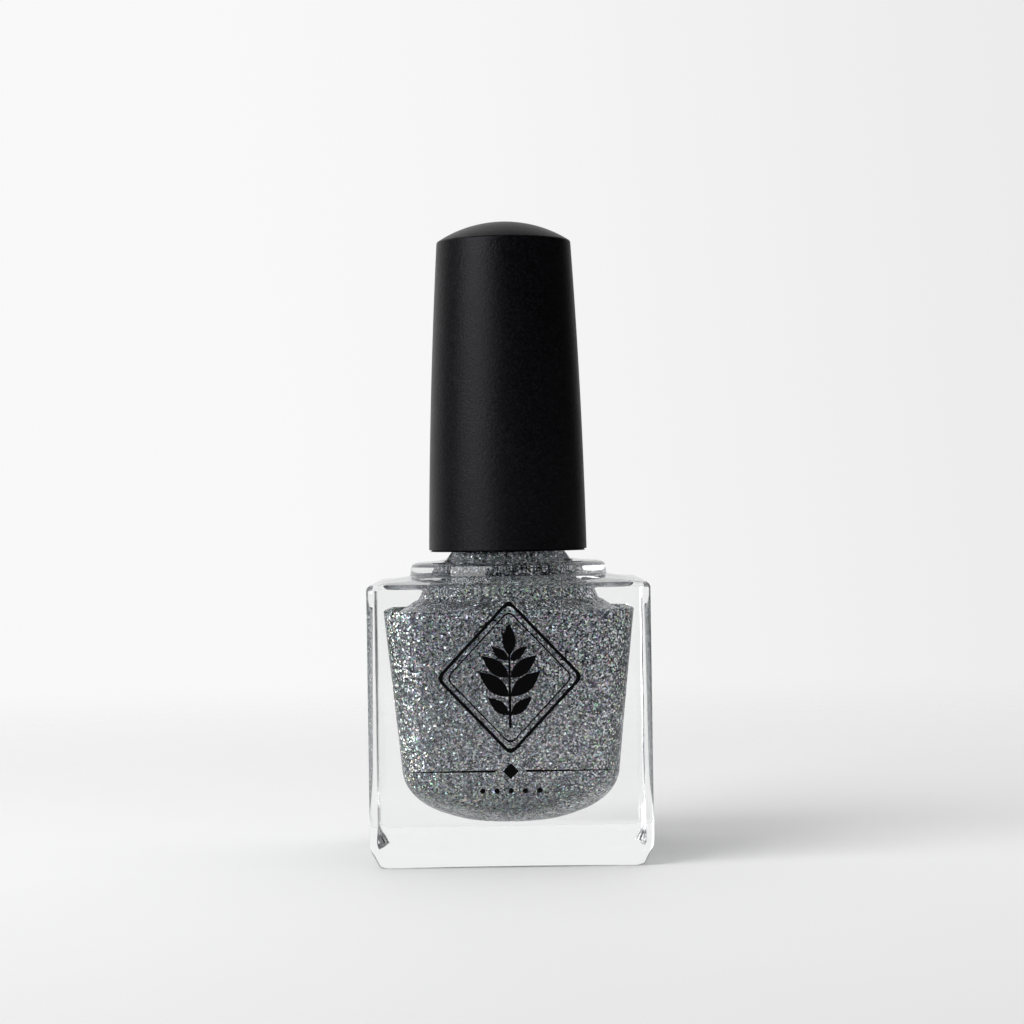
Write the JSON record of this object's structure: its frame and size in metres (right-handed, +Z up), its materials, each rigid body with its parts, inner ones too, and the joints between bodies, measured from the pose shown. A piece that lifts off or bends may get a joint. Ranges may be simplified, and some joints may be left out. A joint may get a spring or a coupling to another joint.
{
  "type": "nail polish bottle",
  "caption": "Square thick-walled glass bottle of glitter nail polish with a tall tapered screw cap that carries the brush.",
  "frame": {"origin": "middle of the base, on the plane of the flat ring that the bottle stands on", "axes": "+Z up along the neck and cap axis; the printed front of the square bottle faces -Y"},
  "size_m": [0.032, 0.032, 0.0742],
  "materials": {
    "clear_glass": "fire-polished, clear and colourless",
    "glitter_lacquer": "liquid lacquer packed with fine silver holographic glitter",
    "ball_steel": "polished stainless steel",
    "foam_liner": "closed-cell foam sheet",
    "stem_plastic": "satin moulded",
    "nylon_filament": "fine round filaments",
    "anchor_brass": "flat drawn wire",
    "inner_cap_plastic": "satin moulded",
    "soft_touch_black": "black rubbery soft-touch coating"
  },
  "bodies": {
    "bottle": {"glass_bottle": "clear_glass", "polish": "glitter_lacquer"},
    "ball_1": {"mixing_ball_1": "ball_steel"},
    "ball_2": {"mixing_ball_2": "ball_steel"},
    "liner": {"cap_liner": "foam_liner"},
    "applicator": {"brush_rod": "stem_plastic", "bristle_tuft": "nylon_filament", "tuft_anchor": "anchor_brass"},
    "cap": {"inner_cap": "inner_cap_plastic", "outer_cap": "soft_touch_black"}
  },
  "joints": [
    {"name": "closure_pull", "type": "slide", "parent": "bottle", "child": "liner", "axis": [0, 0, 1], "range_m": [0, 0.042]},
    {"name": "closure_lift", "type": "slide", "parent": "liner", "child": "applicator", "axis": [0, 0, 1], "range_m": [0, 0.00423]},
    {"name": "closure_turn", "type": "hinge", "parent": "applicator", "child": "cap", "pos_m": [0, 0, 0.0457], "axis": [0, 0, 1], "range_deg": [0, 720]},
    {"name": "mixing_ball_1_rise", "type": "slide", "parent": "bottle", "child": "ball_1", "axis": [0, 0, 1], "range_m": [0, 0.018]},
    {"name": "mixing_ball_2_rise", "type": "slide", "parent": "bottle", "child": "ball_2", "axis": [0, 0, 1], "range_m": [0, 0.018]}
  ],
  "couplings": [
    {"joint": "closure_lift", "follows": "closure_turn", "m_per_rad": 0.00033688}
  ]
}
